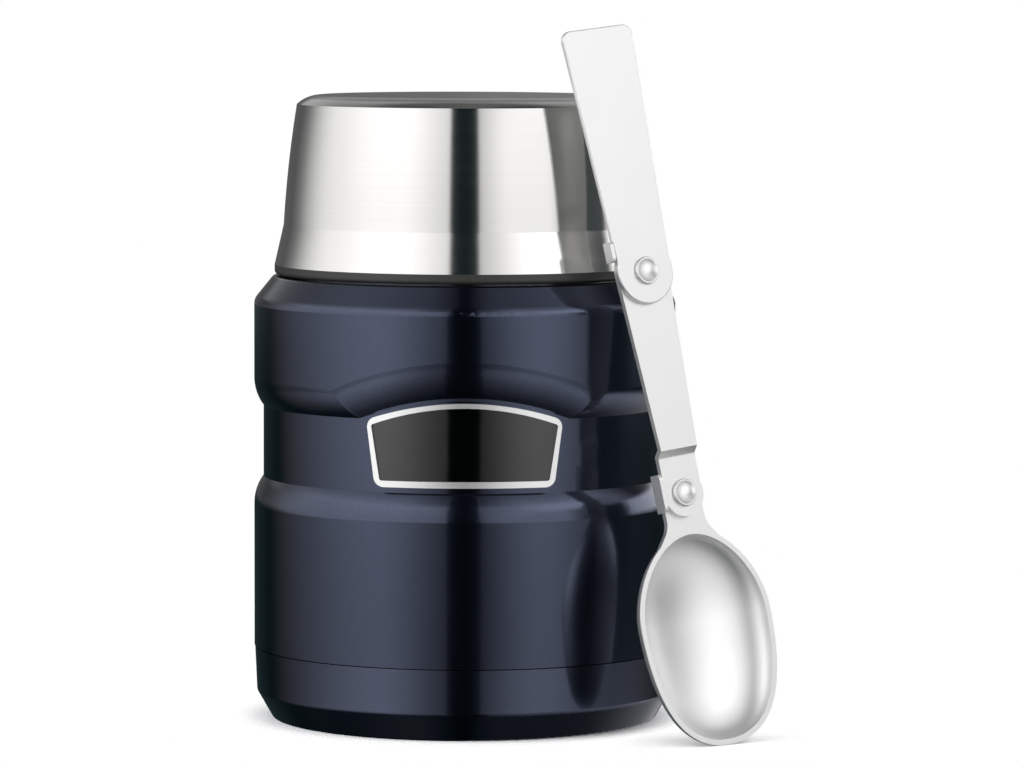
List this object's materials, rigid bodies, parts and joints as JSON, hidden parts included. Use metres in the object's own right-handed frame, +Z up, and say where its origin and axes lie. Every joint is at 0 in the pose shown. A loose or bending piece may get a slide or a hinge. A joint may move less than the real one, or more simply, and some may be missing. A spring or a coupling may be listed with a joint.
{
  "type": "insulated food jar",
  "caption": "Vacuum-insulated steel food jar with a screw-in stopper, a steel cup as its screw-on lid, and a folding steel spoon that stands beside it.",
  "frame": {"origin": "middle of the ring that the jar stands on, at table height", "axes": "+Z up along the jar's axis, the badge faces -Y, +X to the right when seen from the front"},
  "size_m": [0.1164, 0.1026, 0.1566],
  "materials": {
    "navy_lacquer": "metallic lacquer, satin gloss",
    "satin_steel": "fine satin",
    "inner_steel": "drawn, electropolished",
    "spoon_steel": "tumbled satin",
    "bright_trim": "polished",
    "badge_black": "gloss",
    "black_plastic": "fine spark texture",
    "white_foam": "expanded foam",
    "silicone": "translucent grey, matte"
  },
  "bodies": {
    "jar": {"outer_shell": "navy_lacquer", "base_cap": "navy_lacquer", "inner_shell": "inner_steel", "inner_bottom": "inner_steel", "getter": "inner_steel", "vacuum_seal": "inner_steel", "badge_frame": "bright_trim", "badge_plate": "badge_black"},
    "stopper": {"stopper_body": "black_plastic", "stopper_cover": "black_plastic", "stopper_insulation": "white_foam", "stopper_gasket": "silicone"},
    "lid": {"lid_shell": "satin_steel", "lid_liner": "black_plastic"},
    "spoon_bowl": {"spoon_bowl": "spoon_steel", "rivet_lower": "spoon_steel", "washer_lower": "spoon_steel"},
    "spoon_link": {"spoon_link": "spoon_steel", "rivet_upper": "spoon_steel", "washer_upper": "spoon_steel"},
    "spoon_handle": {"spoon_handle": "spoon_steel"}
  },
  "joints": [
    {"name": "stopper_lift", "type": "slide", "parent": "jar", "child": "stopper", "axis": [0, 0, 1], "range_m": [0, 0.015]},
    {"name": "lid_lift", "type": "slide", "parent": "stopper", "child": "lid", "axis": [0, 0, 1], "range_m": [0, 0.03]},
    {"name": "spoon_pick_up", "type": "slide", "parent": "jar", "child": "spoon_bowl", "axis": [0, 0, 1], "range_m": [0, 0.12]},
    {"name": "spoon_lower_fold", "type": "hinge", "parent": "spoon_bowl", "child": "spoon_link", "pos_m": [0.04728, -0.04123, 0.05448], "axis": [-0.5313, 0.8213, -0.2079], "range_deg": [0, 180]},
    {"name": "spoon_upper_fold", "type": "hinge", "parent": "spoon_link", "child": "spoon_handle", "pos_m": [0.03738, -0.03554, 0.10224], "axis": [-0.5313, 0.8213, -0.2079], "range_deg": [0, 180]}
  ]
}
